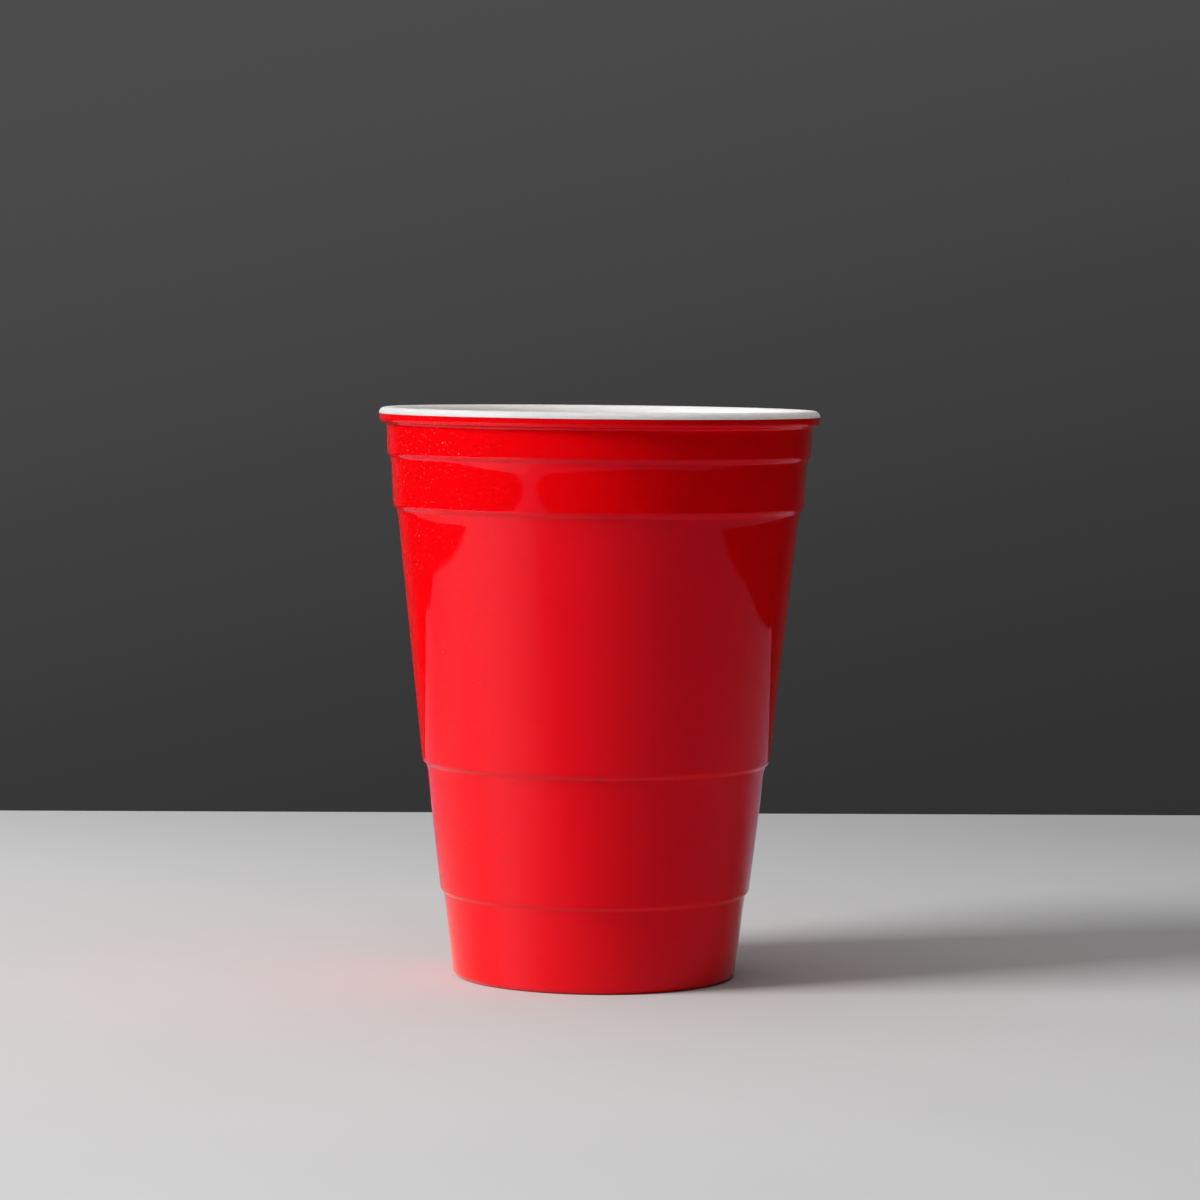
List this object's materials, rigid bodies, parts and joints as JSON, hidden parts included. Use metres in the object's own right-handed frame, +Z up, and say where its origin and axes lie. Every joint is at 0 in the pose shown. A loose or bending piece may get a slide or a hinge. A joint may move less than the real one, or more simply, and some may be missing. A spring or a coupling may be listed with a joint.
{
  "type": "silicone drinking cup",
  "caption": "Tapered silicone drinking cup with a stepped red outside, a white lining and a rolled rim bead that is white above and red below.",
  "frame": {"origin": "on the ground plane at the cup's axis, at the centre of the ring it stands on", "axes": "+Z up along the cup's axis, towards the mouth; the cup is the same all round, so X and Y have no marked side"},
  "size_m": [0.0926, 0.0926, 0.1197],
  "materials": {
    "red_silicone": "glossy moulded silicone",
    "white_silicone": "satin moulded silicone"
  },
  "bodies": {
    "root": {"outer_shell": "red_silicone", "inner_liner": "white_silicone"}
  },
  "joints": []
}
